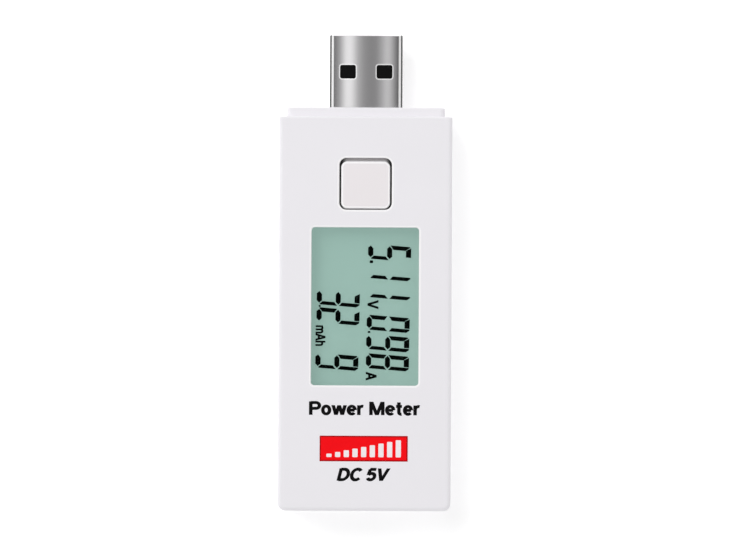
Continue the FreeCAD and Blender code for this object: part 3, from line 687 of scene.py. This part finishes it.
# The dome gives way under the plunger: a shallow cap of a ball that flattens until its crown
# just clears the plunger's foot.
dome_sheet = 0.1 * MM
dome_rows = 13
dome_low, dome_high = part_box("switch_dome")
dome_rise = dome_high.z - dome_low.z
dome_radius = (dome_high.x - dome_low.x) / 2
ball = (dome_radius ** 2 + dome_rise ** 2) / (2 * dome_rise)
inner_ball = ball - dome_sheet
rim_angle = math.acos((ball - dome_rise) / ball)
inner_angle = math.acos((ball - dome_rise) / inner_ball)
outer_turn = np.linspace(0.0, rim_angle, dome_rows)
inner_turn = np.linspace(inner_angle, 0.0, dome_rows)
outside = ball * np.stack([np.sin(outer_turn), np.cos(outer_turn)], axis=1)
inside = inner_ball * np.stack([np.sin(inner_turn), np.cos(inner_turn)], axis=1)
dome_profile = np.vstack([outside, inside]) + (0.0, dome_high.z - ball)
snap_dome = piece("snap_dome", *turned(dome_profile, (0.0, button_y), 48), switch_steel)
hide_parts("switch_dome")
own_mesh(snap_dome)

# ---------------------------------------------------------------------------------------------
# The plug: a shell folded from nickel-plated steel, its wide faces very slightly crowned, over a
# black insulator with four gilt contacts. Its two square windows show the insulator.

plug_low, plug_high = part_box("plug_shell")
crown_radius = 16.0 * MM
window_x = 3.0 * MM
window_y = plug_high.y - 6.0 * MM
window_size = (2.6 * MM, 2.25 * MM, 0.35 * MM)
# Bands of the plug's painted highlights and of its painted dark reflection line.
window_highlight_fade = (0.10 * MM, 0.26 * MM)
dark_line_band = (5.62 * MM, 5.72 * MM)
highlight_line_band = (5.28 * MM, 5.36 * MM)
fold_height = (1.50 * MM, 1.82 * MM)


def plated_steel(name, colour, dullness, crown):
    """Bright nickel plate. The crown of the wide faces is a bump whose height falls off as
    x squared over twice the crown's radius. The cut edges of the windows and a line beside each
    long fold carry a painted highlight, pale and less metallic, and the outside of the fold itself
    is painted dark as a dark reflection."""
    finish = Finish(name)
    x = finish.along("X")
    lines = finish.noise(0.00007, detail=3.0, stretch=(1.0, 0.03, 1.0))
    patches = finish.noise(0.003)
    fold = x * x * (-0.5 / crown)
    height = fold + lines * 0.0000003
    # Painted highlight: pale, less metallic lines at the windows' cut edges.
    painted_glint = 0.0
    for side in (-1, 1):
        distance = finish.beyond((side * window_x, window_y, *window_size))
        painted_glint = finish.steps(distance, -0.05 * MM, 0.0) * (1.0 - finish.steps(distance, *window_highlight_fade)) + painted_glint
    from_middle = finish.along("Z") - (plug_low.z + plug_high.z) / 2
    corner = finish.steps(abs(from_middle), *fold_height)
    # Painted dark reflection along the outside of each fold, and a painted highlight beside it.
    painted_dark_line = finish.steps(abs(x), *dark_line_band) * corner
    painted_fold_highlight = finish.steps(abs(x), *highlight_line_band) * corner * (1.0 - painted_dark_line)
    painted_glint = painted_fold_highlight.over(painted_glint)
    plate = finish.between(painted_dark_line, colour, scaled(colour, 0.05))
    return finish.surface(
        Base_Color=finish.mixed(painted_glint, plate, (0.95, 0.95, 0.95)),
        Metallic=1.0 - painted_glint * 0.7,
        Roughness=dullness + (lines - 0.5) * 0.06 + (patches - 0.5) * 0.03,
        Normal=finish.bump(height, 1.0),
    )


dress(plated_steel("plug_steel", (0.74, 0.73, 0.74), 0.16, crown_radius), "plug_shell")
dress(moulded_black("plug_plastic", (0.005, 0.005, 0.005), 0.5, gloss=0.06), "plug_insulator")


def gilt(name):
    """Gold flash over nickel: warm, with a few paler wiped streaks along the contact."""
    finish = Finish(name)
    wipe = finish.noise(0.0003, detail=3.0, stretch=(1.0, 0.1, 1.0))
    return finish.surface(
        Base_Color=finish.between(wipe, (0.80, 0.55, 0.22), (0.90, 0.72, 0.42)),
        Metallic=1.0,
        Roughness=0.22 + (wipe - 0.5) * 0.15,
        Normal=finish.bump(wipe, 0.0000006),
    )


dress(gilt("contacts"), "plug_contacts", "socket_contacts")

# ---------------------------------------------------------------------------------------------
# The socket at the other end: a folded steel shell with four pressed springs round a black
# tongue that carries the other four contacts.

dress(rolled_metal("socket_steel", (0.66, 0.66, 0.67), 0.24), "socket_shell")
dress(moulded_black("socket_plastic", (0.013, 0.013, 0.014)), "socket_insulator")

# ---------------------------------------------------------------------------------------------
# The board and its parts: glass cloth under a green mask, chips moulded in black epoxy with
# tinned legs, a shunt, a canned crystal, ceramic capacitors and printed resistors.


def solder_mask():
    """A green mask over woven glass cloth: the weave shows as a low relief 0.4 mm across."""
    finish = Finish("board")
    threads = []
    for direction in ("X", "Y"):
        settings = {"wave_type": "BANDS", "bands_direction": direction}
        values = {"Vector": finish.place(), "Scale": 800.0, "Distortion": 0.4}
        threads.append(finish.node("TexWave", settings, values, output=1))
    cloth = (threads[0] + threads[1]) * 0.5
    patches = finish.noise(0.006)
    return finish.surface(
        Base_Color=finish.between(patches * 0.5 + cloth * 0.5, (0.008, 0.12, 0.035), (0.02, 0.22, 0.07)),
        Roughness=0.3 + (patches - 0.5) * 0.1,
        Normal=finish.bump(cloth, 0.000008),
    )


def fired_ceramic(name, dark, light, size):
    """Fired ceramic under a thin glaze: specks of two close colours, size metres across."""
    finish = Finish(name)
    speckle = finish.noise(size, detail=3.0)
    return finish.surface(
        Base_Color=finish.between(speckle, dark, light),
        Roughness=0.4 + (speckle - 0.5) * 0.2,
        Normal=finish.bump(speckle, 0.000004),
    )


dress(solder_mask(), "main_board")
dress(rolled_metal("screws", (0.55, 0.55, 0.57), 0.30, grain=(1.0, 1.0, 0.1)), "board_screws")
chips = ("microcontroller", "memory_chip", "amplifier_chip", "voltage_regulator")
dress(moulded_black("chip_plastic", (0.02, 0.02, 0.022), 0.5), *chips)
tinned = rolled_metal("solder_legs", (0.66, 0.66, 0.67), 0.34, size=0.0002, grain=(1.0, 1.0, 1.0))
dress(tinned, "switch_terminals", *(chip + "_leads" for chip in chips))
dress(fired_ceramic("shunt", (0.03, 0.03, 0.03), (0.12, 0.11, 0.10), 0.0002), "current_shunt")
dress(rolled_metal("crystal_can", (0.70, 0.70, 0.70), 0.25), "crystal")
capacitor_brown = ((0.40, 0.26, 0.15), (0.52, 0.36, 0.22))
dress(fired_ceramic("capacitors", *capacitor_brown, 0.0003), "chip_capacitors")
resistor_black = ((0.03, 0.03, 0.032), (0.09, 0.09, 0.09))
dress(fired_ceramic("resistors", *resistor_black, 0.0003), "chip_resistors")

# ---------------------------------------------------------------------------------------------
# The studio: a pale lit table, a large soft lamp at the upper left, a wide sky that is white
# at the horizon and darker overhead with two soft strips, and a long lens straight above.

FLOOR = 2.5
floor_z = -0.00002
table_glow = 0.42


def lit_table():
    """White acrylic lit from below, with hardly any unevenness."""
    finish = Finish("lit_table")
    sheet = finish.noise(0.05)
    return finish.surface(
        Base_Color=finish.between(sheet, (0.86, 0.86, 0.86), (0.88, 0.88, 0.88)),
        Roughness=0.7 + (sheet - 0.5) * 0.05,
        Emission_Color=(1.0, 1.0, 1.0, 1.0),
        Emission_Strength=table_glow,
        Specular_IOR_Level=0.1,
    )


across = np.array([(-1, -1), (1, -1), (1, 1), (-1, 1)]) * FLOOR
corners = np.hstack([across, np.full((4, 1), floor_z)])
floor = piece("floor", corners, [(0, 1, 2, 3)], lit_table(), body=None)


def softbox(name, place, power):
    """A square lamp at place, facing the object, that neither gloss nor the camera sees."""
    lamp = bpy.data.lights.new(name, "AREA")
    lamp.shape = "SQUARE"
    lamp.size = LAMP
    lamp.energy = power
    made = bpy.data.objects.new(name, lamp)
    bpy.context.scene.collection.objects.link(made)
    away = np.array(place) / np.linalg.norm(place)
    made.location = place
    made.rotation_mode = "XYZ"
    made.rotation_euler = (math.acos(away[2]), 0.0, math.atan2(away[0], -away[1]))
    made.visible_glossy = False
    made.visible_camera = False


LAMP = 0.60
softbox("key", (-0.36, 0.38, 0.95), 5.7)
softbox("fill", (0.55, -0.35, 0.85), 0.5)

sky = bpy.data.worlds.new("studio")
bpy.context.scene.world = sky
air = Finish("studio", sky)
direction = air.node("TexCoord", output="Generated")
sideways = air.node("SeparateXYZ", None, {0: direction}, output="X")
upward = air.node("SeparateXYZ", None, {0: direction}, output="Z")
STRIPS = (
    (-0.62, 0.15), (-0.50, 0.45), (-0.40, 1.10), (-0.30, 1.10), (-0.18, 0.55), (-0.05, 0.36),
    (0.06, 0.30), (0.20, 0.30), (0.32, 0.50), (0.40, 0.75), (0.46, 0.70), (0.60, 0.08),
)
stops = [(0.5 + 0.5 * x, shade) for x, shade in STRIPS]
strips = air.node("ValToRGB", {"stops": stops}, {0: sideways * 0.5 + 0.5})
horizon = 0.66
high_up = air.steps(upward, 0.35, 0.75)
glow = strips * high_up + (1.0 - high_up) * horizon
background = air.node("Background", None, {"Color": (1.0, 1.0, 1.0, 1.0), "Strength": glow})
world_out = sky.node_tree.nodes.new("ShaderNodeOutputWorld")
sky.node_tree.links.new(background.socket, world_out.inputs["Surface"])

LENS = 700.0
SENSOR = 36.0
FRAME_WIDE = 119.68 * MM
camera_data = bpy.data.cameras.new("camera")
camera_data.lens = LENS
camera_data.sensor_width = SENSOR
camera_data.clip_start = 0.01
camera_data.clip_end = 10.0
camera = bpy.data.objects.new("camera", camera_data)
bpy.context.scene.collection.objects.link(camera)
distance = FRAME_WIDE * LENS / SENSOR
camera.location = (-0.03 * MM, -0.17 * MM, face_z + distance)
camera.rotation_euler = (0.0, 0.0, math.radians(0.3))
bpy.context.scene.camera = camera
bpy.context.scene.view_settings.view_transform = "Standard"
bpy.context.scene.cycles.transparent_max_bounces = 32
